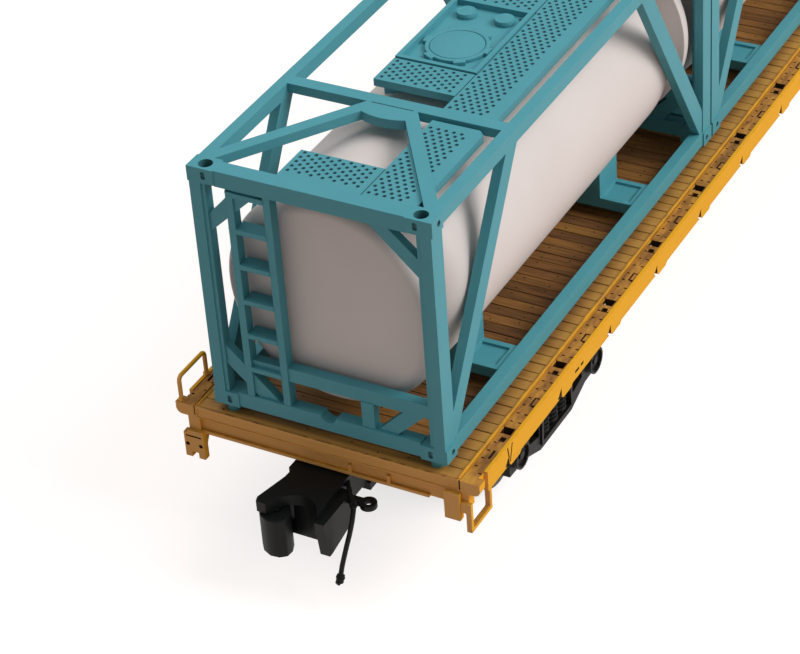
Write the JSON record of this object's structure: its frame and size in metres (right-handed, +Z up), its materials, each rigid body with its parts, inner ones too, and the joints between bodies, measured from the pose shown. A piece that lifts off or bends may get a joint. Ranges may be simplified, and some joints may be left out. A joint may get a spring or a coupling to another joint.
{
  "type": "scale model flatcar with tank containers",
  "caption": "Scale model rail flatcar on pivoting trucks with knuckle couplers, carrying framed tank containers that lift off its plank deck.",
  "frame": {"origin": "on the floor under the middle of the car", "axes": "+X along the car towards the end with the hand brake, +Y to its left, +Z up"},
  "size_m": [0.4118, 0.0666, 0.0861],
  "materials": {
    "tank_shell": "satin pale grey",
    "container_frame": "satin teal",
    "deck_boards": "brown boards",
    "car_body": "satin yellow",
    "wheels": "blackened",
    "truck_castings": "gloss black",
    "couplers": "gloss black"
  },
  "bodies": {
    "car_body": {"air_reservoir": "car_body", "brake_cylinder": "car_body", "brake_valve": "car_body", "brake_wheel": "car_body", "centre_sill": "car_body", "cross_bearers": "car_body", "deck_planks": "deck_boards", "end_brackets": "car_body", "end_pads": "car_body", "end_sill_a": "car_body", "end_sill_b": "car_body", "grab_irons": "car_body", "side_sill_left": "car_body", "side_sill_right": "car_body", "sill_steps": "car_body"},
    "truck_a": {"truck_a_bolster": "truck_castings", "truck_a_side_frames": "truck_castings"},
    "wheelset_a_outer": {"wheelset_a_outer": "wheels"},
    "wheelset_a_inner": {"wheelset_a_inner": "wheels"},
    "coupler_a": {"coupler_a_body": "couplers", "coupler_a_hose": "couplers"},
    "knuckle_a": {"coupler_a_knuckle": "couplers"},
    "truck_b": {"truck_b_bolster": "truck_castings", "truck_b_side_frames": "truck_castings"},
    "wheelset_b_outer": {"wheelset_b_outer": "wheels"},
    "wheelset_b_inner": {"wheelset_b_inner": "wheels"},
    "coupler_b": {"coupler_b_body": "couplers", "coupler_b_hose": "couplers"},
    "knuckle_b": {"coupler_b_knuckle": "couplers"},
    "container_1": {"container_1_far_end_frame": "container_frame", "container_1_manhole_lid": "container_frame", "container_1_near_end_frame": "container_frame", "container_1_roof_frame": "container_frame", "container_1_saddles": "container_frame", "container_1_side_frames": "container_frame", "container_1_spill_box": "container_frame", "container_1_tank": "tank_shell", "container_1_walkways": "container_frame"},
    "container_2": {"container_2_far_end_frame": "container_frame", "container_2_manhole_lid": "container_frame", "container_2_near_end_frame": "container_frame", "container_2_roof_frame": "container_frame", "container_2_saddles": "container_frame", "container_2_side_frames": "container_frame", "container_2_spill_box": "container_frame", "container_2_tank": "tank_shell", "container_2_walkways": "container_frame"},
    "container_3": {"container_3_far_end_frame": "container_frame", "container_3_manhole_lid": "container_frame", "container_3_near_end_frame": "container_frame", "container_3_roof_frame": "container_frame", "container_3_saddles": "container_frame", "container_3_side_frames": "container_frame", "container_3_spill_box": "container_frame", "container_3_tank": "tank_shell", "container_3_walkways": "container_frame"}
  },
  "joints": [
    {"name": "truck_a_swivel", "type": "hinge", "parent": "car_body", "child": "truck_a", "pos_m": [-0.139, 0, 0.0206], "axis": [0, 0, 1], "range_deg": [-12, 12]},
    {"name": "wheelset_a_outer_roll", "type": "hinge", "parent": "truck_a", "child": "wheelset_a_outer", "pos_m": [-0.1565, 0, 0.01], "axis": [0, 1, 0], "continuous": true},
    {"name": "wheelset_a_inner_roll", "type": "hinge", "parent": "truck_a", "child": "wheelset_a_inner", "pos_m": [-0.1215, 0, 0.01], "axis": [0, 1, 0], "continuous": true},
    {"name": "coupler_a_swing", "type": "hinge", "parent": "truck_a", "child": "coupler_a", "pos_m": [-0.179, 0, 0.0177], "axis": [0, 0, 1], "range_deg": [-6, 6]},
    {"name": "knuckle_a_open", "type": "hinge", "parent": "coupler_a", "child": "knuckle_a", "pos_m": [-0.2023, 0.005, 0.0187], "axis": [0, 0, -1], "range_deg": [0, 30]},
    {"name": "truck_b_swivel", "type": "hinge", "parent": "car_body", "child": "truck_b", "pos_m": [0.139, 0, 0.0206], "axis": [0, 0, 1], "range_deg": [-12, 12]},
    {"name": "wheelset_b_outer_roll", "type": "hinge", "parent": "truck_b", "child": "wheelset_b_outer", "pos_m": [0.1565, 0, 0.01], "axis": [0, 1, 0], "continuous": true},
    {"name": "wheelset_b_inner_roll", "type": "hinge", "parent": "truck_b", "child": "wheelset_b_inner", "pos_m": [0.1215, 0, 0.01], "axis": [0, 1, 0], "continuous": true},
    {"name": "coupler_b_swing", "type": "hinge", "parent": "truck_b", "child": "coupler_b", "pos_m": [0.179, 0, 0.0177], "axis": [0, 0, 1], "range_deg": [-6, 6]},
    {"name": "knuckle_b_open", "type": "hinge", "parent": "coupler_b", "child": "knuckle_b", "pos_m": [0.2023, -0.005, 0.0187], "axis": [0, 0, -1], "range_deg": [0, 30]},
    {"name": "container_1_lift", "type": "slide", "parent": "car_body", "child": "container_1", "axis": [0, 0, 1], "range_m": [0, 0.02]},
    {"name": "container_2_lift", "type": "slide", "parent": "car_body", "child": "container_2", "axis": [0, 0, 1], "range_m": [0, 0.02]},
    {"name": "container_3_lift", "type": "slide", "parent": "car_body", "child": "container_3", "axis": [0, 0, 1], "range_m": [0, 0.02]}
  ]
}
